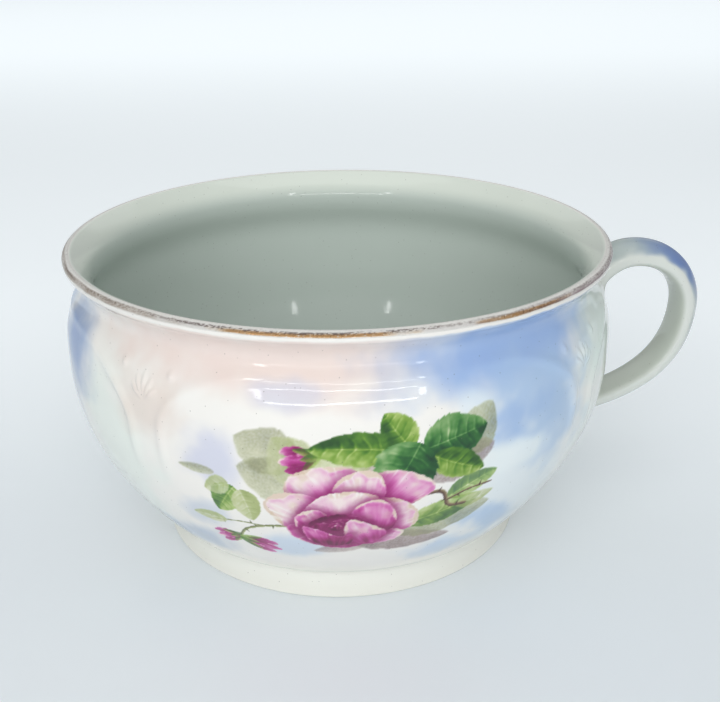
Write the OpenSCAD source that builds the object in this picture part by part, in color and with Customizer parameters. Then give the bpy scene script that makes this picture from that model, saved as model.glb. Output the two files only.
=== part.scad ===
// Chamber pot: a moulded and glazed earthenware bowl on a foot ring, with a rolled and gilt lip,
// four moulded panels with shell sprigs between them, and one strap handle luted on at +X.
// Millimetres, +Z up, origin on the pot's axis in the plane that the foot stands on.

/* [Bowl] */
// Outer diameter over the lip
rim_d = 230; // [224:1:240]
// Overall height
height = 131; // [128:1:140]
// Widest outer diameter of the belly
belly_d = 233; // [226:1:240]
// Height of the widest point of the belly
belly_z = 85; // [80:1:90]
// How far in from the lip's outer edge the neck lies, at its narrowest
neck_in = 6.7; // [5:0.1:9]
// How far below the top of the lip the neck lies
neck_drop = 13; // [11:0.5:15]
// How late the shoulder turns in to the neck, larger is squarer
shoulder_turn = 5; // [4:0.5:6]
// Thickness of the wall
wall = 4.8; // [4:0.1:6]
// Thickness of the bottom
floor_t = 6; // [5:0.5:8]
// How far in from the wall the inside of the bottom starts to curve up
floor_turn = 16; // [12:1:24]

/* [Lip] */
// Thickness of the rolled lip
lip_t = 5; // [4.4:0.1:6]
// Angle on the lip's section where the flare outside runs into it
lip_from_angle = -50; // [-60:10:-40]
// Angle on the lip's section where the flare inside runs into it
lip_to_angle = 130; // [120:10:140]
// Thickness of the gilt line on the lip
gilt_t = 0.25; // [0.2:0.05:0.4]
// Angle on the lip's section where the gilt starts, outside, up from level
gilt_from_angle = 10; // [0:10:20]
// Angle on the lip's section where the gilt ends, at the top
gilt_to_angle = 90; // [90:10:110]

/* [Foot] */
// Outer diameter of the foot where it stands
foot_d = 161.4; // [157:0.2:168]
// Outer diameter of the foot's waist, where the ring joins the bowl
waist_d = 156; // [152:0.5:159]
// Height of the foot ring
foot_h = 10; // [8:0.5:12]
// Width of the ring's top face
foot_t = 8; // [6:0.5:10]
// Width of the face that the foot stands on
stand_w = 5; // [4:0.5:6]
// Height of the rounding at the foot's outer edge
toe_h = 1.2; // [0.8:0.1:2]
// Diameter at the crease where the cove under the belly ends
crease_d = 170; // [166:0.5:176]
// Height of the crease above the foot ring
crease_h = 6; // [5:0.5:7]

/* [Handle] */
// How far below the neck the strap's upper end meets the bowl
handle_drop = 16; // [14:0.5:18]
// Height where the strap's lower end meets the bowl
handle_low_z = 39.5; // [36:0.5:44]
// How far the strap's centre line stands out from the belly
handle_reach = 44.8; // [40:0.1:50]
// How far out from the belly the crest of the strap is
crest_reach = 18.5; // [15:0.5:22]
// How far the strap's centre line rises from its upper end to its crest
crest_rise = 10; // [8:0.5:13]
// How far below its crest the strap's centre line reaches furthest out
reach_drop = 25; // [22:0.5:28]
// Width of the strap at its upper end
strap_w_top = 17; // [15:0.2:20]
// Width of the strap at its lower end
strap_w_low = 18.4; // [15:0.2:20]
// Thickness of the strap's edges at its upper end
strap_t_top = 5.6; // [4.6:0.2:7]
// Thickness of the strap's edges at its lower end
strap_t_low = 4.8; // [4:0.2:6]
// Height of the crown on the strap's outer face at its upper end
crown_top = 6.2; // [4:0.2:8]
// Height of the crown on the strap's outer face at its lower end
crown_low = 2.4; // [1:0.2:4]
// Length of the slip joint at each end of the strap, along the strap
joint_l = 9; // [7:0.5:11]
// How much wider and thicker the slip joint is where it meets the bowl
joint_flare = 3; // [2:0.5:5]

/* [Moulding] */
// How far below the neck the bead along the top of the front and back panels runs
panel_drop = 6; // [5:0.2:9]
// How much lower the top of the left panel and of the handle's panel is
side_drop = 2.4; // [0:0.2:4]
// Height where the bead along a panel's side fades out
panel_foot_z = 62; // [50:1:70]
// Half the angle that a panel spans, to the middle of its bead
panel_half_angle = 41.4; // [38:0.2:42]
// Angle that a panel's rounded corner takes
corner_angle = 20; // [14:0.5:24]
// Height that a panel's rounded corner takes
corner_h = 26; // [18:0.5:30]
// Width of the bead
bead_w = 4; // [3:0.2:5]
// How far the moulding stands proud of the bowl
relief = 0.9; // [0.6:0.1:1.2]
// How far below the neck the lower end of a shell sprig lies
shell_drop = 21; // [19:0.5:24]
// Length of the middle lobe of a shell sprig
shell_l = 11; // [9:0.5:12]
// How much shorter each lobe is than the one nearer the middle
lobe_step = 1.2; // [0.6:0.2:1.8]
// Angle between two lobes
lobe_angle = 24; // [20:1:28]
// Width of a lobe
lobe_w = 3.6; // [3:0.2:4.2]
// Diameter of the scroll eye on each side of a shell sprig
eye_d = 3.4; // [2.6:0.2:4]
// Distance of a scroll eye from the middle of the sprig
eye_out = 11.5; // [11:0.5:13]
// Height of a scroll eye above the lower end of the sprig
eye_up = 11; // [10:0.5:12]

/* [Hidden] */
belly_r = belly_d/2;
neck_r = rim_d/2 - neck_in;
neck_z = height - neck_drop;
foot_r = foot_d/2;
waist_r = waist_d/2;
crease_r = crease_d/2;
crease_z = foot_h + crease_h;
floor_z = foot_h + floor_t;
lip_r = lip_t/2;
lip_c = [rim_d/2 - gilt_t - lip_r, height - gilt_t - lip_r];
profile_step = 3;
lip_step = 10;
$fn = 120;

PANELS = ["handle", "back", "left", "front"];
CORNERS = ["back_right", "back_left", "front_left", "front_right"];

function reversed(v) = [for (i = [len(v) - 1:-1:0]) v[i]];
function unit(v) = v/norm(v);
function bezier(p, t) = p[0]*pow(1 - t, 3) + 3*p[1]*t*pow(1 - t, 2) + 3*p[2]*t*t*(1 - t) + p[3]*pow(t, 3);

// Outer radius at height z: the cove over the foot, the belly, then the shoulder
function cove_r(z) = waist_r + (crease_r - waist_r)*pow((z - foot_h)/crease_h, 2);
function low_r(z) = belly_r - (belly_r - crease_r)*pow((belly_z - z)/(belly_z - crease_z), 2);
function turn(u) = pow(u, shoulder_turn)*(shoulder_turn + 1 - shoulder_turn*u);
function shoulder_r(z) = belly_r - (belly_r - neck_r)*turn((z - belly_z)/(neck_z - belly_z));
function out_r(z) = z < crease_z ? cove_r(z) : z < belly_z ? low_r(z) : shoulder_r(z);

// Heights spaced evenly from a up to b, without b
function heights(a, b) = let (n = ceil((b - a)/profile_step)) [for (i = [0:n - 1]) a + (b - a)*i/n];
function out_pts(a, b) = [for (z = heights(a, b)) [out_r(z), z]];
outer_pts = concat(
    out_pts(foot_h, crease_z),
    out_pts(crease_z, belly_z),
    out_pts(belly_z, neck_z),
    [[neck_r, neck_z]]);

// Inner face: one wall in from the outer face along its normal, then curved into the floor
slope_dz = 0.05;
function slope(z) = (out_r(z + slope_dz) - out_r(z - slope_dz))/(2*slope_dz);
function in_pt(z) = let (s = slope(z), k = wall/sqrt(1 + s*s)) [out_r(z) - k, z + k*s];
curl_h = 8;
curl_z = crease_z + curl_h;
curl_top = in_pt(curl_z);
curl_foot = [curl_top[0] - floor_turn, floor_z];
curl_mid = [curl_top[0] - slope(curl_z)*(curl_top[1] - floor_z), floor_z];
curl_n = 6;
curl = [curl_foot, (curl_foot + 2*curl_mid)/3, (curl_top + 2*curl_mid)/3, curl_top];
inner_pts = concat(
    [for (i = [0:curl_n - 1]) bezier(curl, i/curl_n)],
    [for (z = heights(curl_z, neck_z)) in_pt(z)]);

module bowl() {
    color("#e9ebe6")
    rotate_extrude()
        polygon(concat(
            [[0, foot_h]],
            outer_pts,
            [[neck_r - wall, neck_z]],
            reversed(inner_pts),
            [[0, floor_z]]));
}

module foot_ring() {
    scoop = [for (z = concat(heights(toe_h, foot_h), [foot_h]))
        [waist_r + (foot_r - waist_r)*pow((foot_h - z)/(foot_h - toe_h), 2), z]];
    color("#eceadf")
    rotate_extrude()
        polygon(concat(
            [[foot_r - toe_h - stand_w, 0], [foot_r - toe_h, 0]],
            scoop,
            [[waist_r - foot_t, foot_h]]));
}

// Points on the lip's round section: one at an angle, and those from angle a to angle b, at radius r
function lip_pt(a, r) = lip_c + r*[cos(a), sin(a)];
function lip_arc(a, b, r) = [for (i = [0:round((b - a)/lip_step)]) lip_pt(a + i*lip_step, r)];

// A flare from the neck to the lip: from point a, upright there, out to point b
flare_n = 4;
function flare(a, b) = [for (i = [0:flare_n - 1])
    let (t = i/flare_n)
    [a[0] + (b[0] - a[0])*t*t, a[1] + (b[1] - a[1])*t]];

module rim_lip() {
    color("#eef0ea")
    rotate_extrude()
        polygon(concat(
            flare([neck_r, neck_z], lip_pt(lip_from_angle, lip_r)),
            lip_arc(lip_from_angle, lip_to_angle, lip_r),
            reversed(flare([neck_r - wall, neck_z], lip_pt(lip_to_angle, lip_r)))));
}

module gilt_line() {
    color("#b08d57")
    rotate_extrude()
        polygon(concat(
            lip_arc(gilt_from_angle, gilt_to_angle, lip_r + gilt_t),
            reversed(lip_arc(gilt_from_angle, gilt_to_angle, lip_r))));
}

// Centre line of the strap in the XZ plane: it rises to a crest, bends over and falls to the belly
handle_top_z = neck_z - handle_drop;
root_top = [out_r(handle_top_z), handle_top_z];
root_low = [out_r(handle_low_z), handle_low_z];
crest = [belly_r + crest_reach, handle_top_z + crest_rise];
reach = [belly_r + handle_reach, crest[1] - reach_drop];
rise_angle = 38;
fall_angle = 9;
rise_lead = 0.45;
crest_lead = 0.45;
bend_lead = 0.56;
drop_lead = 0.66;
fall_lead = 0.55;
rise_w = crest[0] - root_top[0];
fall_w = reach[0] - root_low[0];
rise = [
    root_top,
    root_top + rise_lead*rise_w*[cos(rise_angle), sin(rise_angle)],
    crest - [crest_lead*rise_w, 0],
    crest];
bend = [
    crest,
    crest + [bend_lead*(reach[0] - crest[0]), 0],
    reach + [0, bend_lead*(crest[1] - reach[1])],
    reach];
fall = [
    reach,
    reach - [0, drop_lead*(reach[1] - root_low[1])],
    root_low + fall_lead*fall_w*[cos(fall_angle), sin(fall_angle)],
    root_low];
curve_n = 12;
function samples(p) = [for (i = [0:curve_n - 1]) bezier(p, i/curve_n)];
line = concat(samples(rise), samples(bend), samples(fall), [root_low]);
last = len(line) - 1;
function along(i) = i == 0 ? 0 : along(i - 1) + norm(line[i] - line[i - 1]);
run = [for (i = [0:last]) along(i)];
line_l = run[last];

// Place and heading at run s along the centre line, straight on past both ends
function seg(s, i = 0) = i == last - 1 || run[i + 1] >= s ? i : seg(s, i + 1);
function place(s) = let (i = seg(s)) line[i] + unit(line[i + 1] - line[i])*(s - run[i]);
heading_ds = 1.5;
function heading(s) = unit(place(s + heading_ds) - place(s - heading_ds));

// Ring of points round the strap at run s: flat inside, crowned outside and with rounded edges,
// e wider and thicker than the strap; a narrow flat, with no point in its middle, tops the crown
ring_n = 18;
edge_round = 0.5;
function full(v) = sign(v)*pow(abs(v), edge_round);
function taper(s, top, low) = top + (low - top)*min(max(s/line_l, 0), 1);
function strap_w(s) = taper(s, strap_w_top, strap_w_low);
function strap_t(s) = taper(s, strap_t_top, strap_t_low);
function crown(s) = taper(s, crown_top, crown_low);
flat_side = full(cos(90 - 180/ring_n));
function arch(side) = (1 - side*side)/(1 - flat_side*flat_side);
function ring(s, e) = let (p = place(s), d = heading(s)) [for (k = [0:ring_n - 1])
    let (
        a = 360*k/ring_n,
        side = full(cos(a)),
        across = side*(strap_w(s) + e)/2,
        up = full(sin(a))*(strap_t(s) + e)/2 + (sin(a) > 0 ? crown(s)*arch(side) : 0))
    [p[0] - d[1]*up, across, p[1] + d[0]*up]];

// A closed skin over a list of rings
module skin(rings) {
    m = len(rings);
    n = len(rings[0]);
    low = [for (i = [0:m - 2], k = [0:n - 1]) [i*n + k, i*n + (k + 1)%n, (i + 1)*n + (k + 1)%n]];
    high = [for (i = [0:m - 2], k = [0:n - 1]) [i*n + k, (i + 1)*n + (k + 1)%n, (i + 1)*n + k]];
    ends = [[for (k = [n - 1:-1:0]) k], [for (k = [0:n - 1]) (m - 1)*n + k]];
    polyhedron(points = [for (r = rings) each r], faces = concat(low, high, ends));
}

strap_n = 30;
module handle_strap() {
    color("#e3e8e4")
    skin([for (i = [0:strap_n]) ring(joint_l + (line_l - 2*joint_l)*i/strap_n, 0)]);
}

// A slip joint's skin widens towards the bowl and runs on into its wall
joint_in = 7;
joint_n = 8;
function spread(u) = pow(min(u*(joint_l + joint_in)/joint_l, 1), 2);

// The bowl's outer form, not hollowed, grown outwards by g
module outer_form(g) {
    rotate_extrude()
        polygon(concat([[0, foot_h]], [for (p = outer_pts) [p[0] + g, p[1]]], [[0, neck_z]]));
}

module upper_slip_joint() {
    color("#dfe5e1")
    difference() {
        skin([for (i = [joint_n:-1:0]) let (u = i/joint_n)
            ring(joint_l - (joint_l + joint_in)*u, joint_flare*spread(u))]);
        outer_form(0);
    }
}

module lower_slip_joint() {
    color("#dfe5e1")
    difference() {
        skin([for (i = [0:joint_n]) let (u = i/joint_n)
            ring(line_l - joint_l + (joint_l + joint_in)*u, joint_flare*spread(u))]);
        outer_form(0);
    }
}

// Lays a flat outline on the outside of the bowl, facing the angle a and as thick as the relief
module laid_on(a) {
    rotate([0, 0, a])
    intersection() {
        difference() {
            outer_form(relief);
            outer_form(0);
        }
        rotate([90, 0, 90])
            linear_extrude(height = belly_d)
                children();
    }
}

// Edge of a panel's bead, g out from its middle: up one side, round the corner, then in along the top
deg_per_mm = 180/(PI*belly_r);
corner_n = 8;
function half_edge(top_z, g) = concat([[panel_half_angle + g*deg_per_mm, panel_foot_z]],
    [for (i = [0:corner_n]) let (a = 90*i/corner_n)
        [panel_half_angle + g*deg_per_mm - corner_angle*(1 - cos(a)), top_z + g - corner_h*(1 - sin(a))]]);
function facing(q) = [out_r(q[1])*sin(q[0]), q[1]];
function edge(top_z, g) = let (h = [for (q = half_edge(top_z, g)) facing(q)])
    concat(h, [for (q = reversed(h)) [-q[0], q[1]]]);

// The bead of the handle's panel stops short of the slip joint on both sides
joint_half = (strap_w_top + joint_flare)/2 + relief;
module panel_bead(i) {
    top_z = neck_z - panel_drop - (i%2 == 0 ? side_drop : 0);
    color("#edece8")
    difference() {
        laid_on(90*i)
            polygon(concat(edge(top_z, bead_w/2), reversed(edge(top_z, -bead_w/2))));
        if (i == 0)
            translate([0, -joint_half, 0])
                cube([belly_d, 2*joint_half, height]);
    }
}

// One lobe of a shell: a narrow leaf of length l, standing on the origin
lobe_n = 20;
module lobe(l) {
    polygon([for (k = [0:lobe_n - 1]) [sin(360*k/lobe_n)*lobe_w/2, l*(1 - cos(360*k/lobe_n))/2]]);
}

shell_z = neck_z - shell_drop;
module shell_sprig(i) {
    color("#ece6e2")
    laid_on(90*i + 45) {
        translate([0, shell_z])
        for (k = [-2:2])
            rotate(k*lobe_angle)
                lobe(shell_l - abs(k)*lobe_step);
        for (side = [-1, 1])
            translate([side*eye_out, shell_z + eye_up])
                circle(d = eye_d);
    }
}

bowl();
foot_ring();
rim_lip();
gilt_line();
handle_strap();
upper_slip_joint();
lower_slip_joint();
for (i = [0:3]) panel_bead(i);
for (i = [0:3]) shell_sprig(i);
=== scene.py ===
import math
from functools import lru_cache

import bmesh
import bpy
import numpy as np
from mathutils import Matrix, Vector


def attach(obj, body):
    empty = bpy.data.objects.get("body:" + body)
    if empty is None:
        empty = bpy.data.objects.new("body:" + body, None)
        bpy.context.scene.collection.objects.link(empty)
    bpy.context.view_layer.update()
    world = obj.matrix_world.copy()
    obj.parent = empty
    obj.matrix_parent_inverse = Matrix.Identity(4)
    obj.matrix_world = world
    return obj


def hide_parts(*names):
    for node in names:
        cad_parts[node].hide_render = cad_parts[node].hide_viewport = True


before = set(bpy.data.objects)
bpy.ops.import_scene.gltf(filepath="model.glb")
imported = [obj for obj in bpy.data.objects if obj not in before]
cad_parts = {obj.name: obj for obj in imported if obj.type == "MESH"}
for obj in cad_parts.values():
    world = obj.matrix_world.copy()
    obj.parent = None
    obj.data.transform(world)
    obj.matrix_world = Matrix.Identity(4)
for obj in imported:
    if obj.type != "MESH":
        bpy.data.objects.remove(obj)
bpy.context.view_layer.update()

# Driving sizes in millimetres and degrees, as in the part's source
MM = 0.001
HEIGHT, RIM_R = 131.0, 115.0
BELLY_R, BELLY_Z = 116.5, 85.0
NECK_R, NECK_Z, SHOULDER_TURN = RIM_R - 6.7, HEIGHT - 13.0, 5.0
WALL, FLOOR_Z, FLOOR_TURN = 4.8, 16.0, 16.0
LIP_R, GILT_T = 2.5, 0.25
LIP_FROM, LIP_TO = -50.0, 130.0
GILT_FROM, GILT_TO = 10.0, 90.0
FOOT_R, WAIST_R, FOOT_H, FOOT_T, STAND_W, TOE_H = 80.7, 78.0, 10.0, 8.0, 5.0, 1.2
CREASE_R, CREASE_Z = 85.0, 16.0
ROOT_TOP_Z, ROOT_LOW_Z = NECK_Z - 16.0, 39.5
CREST = np.array([BELLY_R + 18.5, ROOT_TOP_Z + 10.0])
REACH = np.array([BELLY_R + 44.8, CREST[1] - 25.0])
RISE_ANGLE, FALL_ANGLE = 38.0, 9.0
RISE_LEAD, CREST_LEAD, BEND_LEAD, DROP_LEAD, FALL_LEAD = 0.45, 0.45, 0.56, 0.66, 0.55
STRAP_W_TOP, STRAP_W_LOW, STRAP_T_TOP, STRAP_T_LOW = 17.0, 18.4, 5.6, 4.8
CROWN_TOP, CROWN_LOW = 6.3, 2.4
JOINT_L, JOINT_FLARE = 9.0, 3.0
PANEL_TOP_Z, SIDE_DROP, PANEL_FOOT_Z = NECK_Z - 6.0, 2.4, 62.0
PANEL_HALF, CORNER_ANGLE, CORNER_H = 41.4, 20.0, 26.0
BEAD_W, RELIEF = 4.0, 0.9
SHELL_Z, SHELL_L, LOBE_STEP, LOBE_ANGLE, LOBE_W = NECK_Z - 21.0, 11.0, 1.2, 24.0, 3.6
EYE_D, EYE_OUT, EYE_UP = 3.4, 11.5, 11.0
LIP_C = np.array([RIM_R - GILT_T - LIP_R, HEIGHT - GILT_T - LIP_R])

# Angles of the panels and shells, and how softly their moulding is drawn
PANELS, SHELLS = (0.0, 90.0, 180.0, -90.0), (-135.0, -45.0, 45.0, 135.0)
BEAD_SOFT, BEAD_FADE = 0.58, 26.0
SHELL_SOFT, SHELL_HALF, SHELL_UNDER = 0.8, 12.0, 2.0

# Mesh densities: columns round the pot, and millimetres or degrees between rows
COLUMNS = 640
INNER_COLUMNS, FOOT_COLUMNS, GILT_COLUMNS = COLUMNS // 4, COLUMNS // 2, COLUMNS * 3
ROW, COVE_ROW, INNER_ROW, FOOT_ROW = 1.2, 0.75, 2.5, 0.6
LIP_STEP, GILT_STEP, TOE_STEP = 7.5, 5.0, 15.0


def smoothstep(low, high, x):
    t = np.clip((x - low) / (high - low), 0, 1)
    return t * t * (3 - 2 * t)


def heading(degrees):
    """Cosine and sine of an angle."""
    a = math.radians(degrees)
    return np.array([math.cos(a), math.sin(a)])


def mix(a, b, amount):
    """Colours a, changed to b by an amount for each point."""
    t = np.asarray(amount)[:, None]
    return a * (1 - t) + b * t


def unit(colour):
    return np.asarray(colour) / 255


def plain(colour, points):
    return np.tile(unit(colour), (len(points), 1))


# The pot's profile


def outer_r(z):
    """Outer radius of the bowl at height z: the cove over the foot, the belly, then the shoulder."""
    cove = WAIST_R + (CREASE_R - WAIST_R) * ((z - FOOT_H) / (CREASE_Z - FOOT_H)) ** 2
    low = BELLY_R - (BELLY_R - CREASE_R) * ((BELLY_Z - z) / (BELLY_Z - CREASE_Z)) ** 2
    u = np.clip((z - BELLY_Z) / (NECK_Z - BELLY_Z), 0, 1)
    turn = u**SHOULDER_TURN * (SHOULDER_TURN + 1 - SHOULDER_TURN * u)
    shoulder = BELLY_R - (BELLY_R - NECK_R) * turn
    return np.where(z < CREASE_Z, cove, np.where(z < BELLY_Z, low, shoulder))


def about_axis(r, az, z):
    """Points at radii, angles and heights."""
    return np.stack([r * np.cos(np.radians(az)), r * np.sin(np.radians(az)), z], 1)


def slope(z, step=0.02):
    return (outer_r(z + step) - outer_r(z - step)) / (2 * step)


def inner_points(heights):
    """Points one wall in from the outer face along its normal."""
    s = slope(heights)
    k = WALL / np.sqrt(1 + s * s)
    return np.stack([outer_r(heights) - k, heights + k * s], 1)


def run_along(x, y):
    """Distance along a line of points to each of them."""
    return np.concatenate([[0], np.cumsum(np.hypot(np.diff(x), np.diff(y)))])


def bezier(points, t):
    a, b, c, d = (np.asarray(p, float) for p in points)
    t = np.asarray(t)[:, None]
    return a * (1 - t) ** 3 + 3 * b * t * (1 - t) ** 2 + 3 * c * t * t * (1 - t) + d * t**3


# Moulded relief on the outside of the bowl


def turned(az, about):
    """Angle from about to az, from -180 to 180."""
    return (az - about + 180) % 360 - 180


def bead_distance(az, z, about, top_z):
    """Distance from the middle of a panel's bead, in millimetres."""
    a = np.abs(turned(az, about))
    radius = outer_r(z)
    across = (a - (PANEL_HALF - CORNER_ANGLE)) / CORNER_ANGLE
    up = (z - (top_z - CORNER_H)) / CORNER_H
    ax, upx = np.maximum(across, 0), np.maximum(up, 0)
    f = np.hypot(ax, upx)
    gx = ax / np.maximum(f, 1e-6) / (CORNER_ANGLE * math.pi / 180 * radius)
    gz = upx / np.maximum(f, 1e-6) / CORNER_H
    return np.abs(f - 1) / np.maximum(np.hypot(gx, gz), 1e-6)


def shell_height(az, z, about):
    """Height of a shell sprig with its two scroll eyes, from 0 to 1."""
    x = np.radians(turned(az, about)) * outer_r(z)
    y = z - SHELL_Z
    h = np.zeros_like(x)
    for k in range(-2, 3):
        c, s = heading(k * LOBE_ANGLE)
        along, side = y * c - x * s, x * c + y * s
        length = SHELL_L - abs(k) * LOBE_STEP
        t = np.clip(along / length, 0, 1)
        swell = np.sin(math.pi * t**1.25)
        half = LOBE_W / 2 * (0.5 + 0.5 * swell)
        h = np.maximum(h, swell**1.2 * np.exp(-1.8 * (side / half) ** 2))
    for side in (-1, 1):
        d = np.hypot(x - side * EYE_OUT, y - EYE_UP) / (EYE_D / 2)
        h = np.maximum(h, np.exp(-1.2 * d * d))
    return h


def relief(az, z):
    """How far the moulding stands proud of the bowl."""
    bead = np.zeros_like(z)
    for k, about in enumerate(PANELS):
        top_z = PANEL_TOP_Z - (SIDE_DROP if k % 2 == 0 else 0)
        d = bead_distance(az, z, about, top_z)
        one = np.exp(-((d / (BEAD_SOFT * BEAD_W)) ** 2))
        bead = np.maximum(bead, one * smoothstep(PANEL_FOOT_Z, PANEL_FOOT_Z + BEAD_FADE, z))
    shells = np.zeros_like(z)
    for about in SHELLS:
        near = (np.abs(turned(az, about)) < SHELL_HALF) & (z > SHELL_Z - SHELL_UNDER)
        shells[near] = np.maximum(shells[near], shell_height(az[near], z[near], about))
    return RELIEF * np.maximum(bead, SHELL_SOFT * shells)


def on_bowl(az, z):
    """Points on the outside of the bowl, relief and all."""
    return about_axis(outer_r(z) + relief(az, z), az, z)


# Painting: noise, then flat pictures of petals, leaves and stems in millimetres

GRID = 256
SPRAY_AZ, SPRAY_HALF, SPRAY_LOW, SPRAY_HIGH = -98.0, 33.0, 18.0, 106.0
SPRIG_AZ, SPRIG_HALF, SPRIG_LOW, SPRIG_HIGH = 92.0, 18.0, 40.0, 96.0
BLOOM_AZ, BLOOM_Z, BLOOM_SCALE = -97.0, 61.5, 1.13
SPRIG_Z = 70.0


@lru_cache(maxsize=None)
def leans(seed):
    """Random directions at the corners of a grid."""
    return np.random.default_rng(seed).uniform(0, 2 * math.pi, (GRID, GRID))


def noise(x, y, seed, wrap=GRID):
    """Gradient noise from about -1 to 1, with features one unit wide, that repeats in x after wrap units."""
    lean = leans(seed)
    i, j = np.floor(x).astype(int), np.floor(y).astype(int)
    u, v = x - i, y - j

    def corner(a, b):
        g = lean[(i + a) % wrap % GRID, (j + b) % GRID]
        return np.cos(g) * (u - a) + np.sin(g) * (v - b)

    su, sv = (t**3 * (t * (t * 6 - 15) + 10) for t in (u, v))
    low = corner(0, 0) * (1 - su) + corner(1, 0) * su
    high = corner(0, 1) * (1 - su) + corner(1, 1) * su
    return 1.5 * (low * (1 - sv) + high * sv)


def clouds(x, y, seed, octaves=4):
    return sum(noise(x * 2**k, y * 2**k, seed + k) / 2**k for k in range(octaves))


def round_clouds(az, z, cell, seed, octaves=3):
    """Clouds about cell millimetres wide that join up round the pot."""
    count = round(2 * math.pi * BELLY_R / cell)
    turn = (az % 360) / 360 * count
    return sum(noise(turn * 2**k, z / cell * 2**k, seed + k, count * 2**k) / 2**k for k in range(octaves))


class Art:
    """Points of a flat picture with their colours, painted over layer by layer."""

    def __init__(self, x, y, rgb):
        self.x, self.y, self.rgb = x, y, rgb
        self.bloom = np.zeros(len(x))

    def lay(self, where, amount, colour):
        self.rgb[where] = mix(self.rgb[where], np.asarray(colour), np.clip(amount, 0, 1))

    def frame(self, x, y, angle, reach):
        """The points within reach of a place, and their distances along and across an angle there."""
        where = np.where(np.hypot(self.x - x, self.y - y) < reach)[0]
        c, s = heading(angle)
        dx, dy = self.x[where] - x, self.y[where] - y
        return where, dx * c + dy * s, dy * c - dx * s


def ramp(t, colours):
    """Colours from 0 to 255 spread evenly over t from 0 to 1."""
    c = unit(colours)
    at = np.linspace(0, 1, len(c))
    return np.stack([np.interp(t, at, c[:, k]) for k in range(3)], -1)


PETAL = [(82, 10, 54), (140, 24, 94), (184, 58, 142), (214, 112, 180), (232, 166, 206), (240, 206, 220),
         (248, 232, 230)]
CREAM, SHADE = unit((222, 200, 176)), unit((132, 22, 92))
THORN_L, THORN_W, THORN_ANGLE = 2.3, 0.55, 75


def outside(x, y, outline):
    """Distance from a closed outline, below zero inside it."""
    nearest, within = np.full(x.shape, np.inf), np.zeros(x.shape, bool)
    for (ax, ay), (bx, by) in zip(outline, np.roll(outline, -1, 0)):
        ex, ey, px, py = bx - ax, by - ay, x - ax, y - ay
        t = np.clip((px * ex + py * ey) / (ex * ex + ey * ey), 0, 1)
        nearest = np.minimum(nearest, (px - t * ex) ** 2 + (py - t * ey) ** 2)
        side = px * ey - py * ex
        within ^= ((ay > y) != (by > y)) & (side * ey < 0)
    return np.where(within, -1, 1) * np.sqrt(nearest)


def petal(art, points, dark_at, light_at, deep, pale, seed, roll=1.6, cream=0.5, cast=0.55, scale=1.0):
    """A petal in a smooth outline, shaded from deep at one place to pale at another, with rolled edges."""
    p, dark_at, light_at = (scale * np.asarray(a, float) for a in (points, dark_at, light_at))
    p = np.vstack([p, p[:1]])
    steps = np.linspace(0, len(p) - 1, 6 * (len(p) - 1), endpoint=False)
    outline = smooth_line(p, steps, closed=True)
    mid = outline.mean(0)
    reach = np.hypot(*(outline - mid).T).max() + 3
    where = np.where(np.hypot(art.x - mid[0], art.y - mid[1]) < reach)[0]
    x, y = art.x[where], art.y[where]
    ragged = 0.35 * noise(x / 1.7 + 80, y / 1.7 + 80, seed)
    ragged += 0.15 * noise(x / 0.7 + 80, y / 0.7 + 80, seed + 1)
    out = outside(x, y, outline) + ragged
    art.lay(where, 0.75 * cast * art.bloom[where] * np.exp(-(np.maximum(out, 0) / 2.4) ** 2), SHADE)
    dx, dy = np.subtract(light_at, dark_at)
    size = np.hypot(dx, dy)
    u = ((x - dark_at[0]) * dx + (y - dark_at[1]) * dy) / size**2
    v = ((y - dark_at[1]) * dx - (x - dark_at[0]) * dy) / size**2
    spread = v / (0.45 + 0.55 * np.clip(u, 0, 1.5))
    fan = noise(spread * 4 + 20, u * 1.1 + 5, seed + 2)
    fine = noise(spread * 13 + 40, u * 2.2 + 5, seed + 3)
    satin = clouds(x / 7 + 30, y / 7 + 30, seed + 4, 2)
    t = deep + (pale - deep) * smoothstep(-0.1, 1.1, u) + 0.12 * fan + 0.06 * fine + 0.13 * satin
    away = np.maximum(np.hypot(x - mid[0], y - mid[1]), 1e-6)
    width = noise((x - mid[0]) / away * 1.2 + 9, (y - mid[1]) / away * 1.2 + 9, seed + 5)
    width = roll * np.clip(0.35 + width, 0, 1.3)
    rolled = smoothstep(-0.3, 0.3, out + width) * smoothstep(0.25, 0.6, width) * smoothstep(0.15, 0.6, u)
    t = t - 0.17 * np.exp(-(((out + width + 1.1) / 1.2) ** 2)) * smoothstep(0.15, 0.6, u)
    t = t + rolled * (0.35 + 0.3 * fine)
    colour = ramp(t, PETAL)
    warm = cream * np.clip(rolled * 0.7 + 0.55 * smoothstep(0.1, 0.7, satin) * u, 0, 1)
    colour = mix(colour, CREAM, warm)
    gloss = smoothstep(0.35, 1.0, fine + 0.5 * fan + 0.3 * satin) * smoothstep(0.4, 0.9, u)
    colour = mix(colour, 1.0, gloss * pale * 0.6)
    cover = smoothstep(0.25, -0.25, out)
    art.lay(where, cover, colour)
    art.bloom[where] = np.maximum(art.bloom[where], cover)


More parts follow.
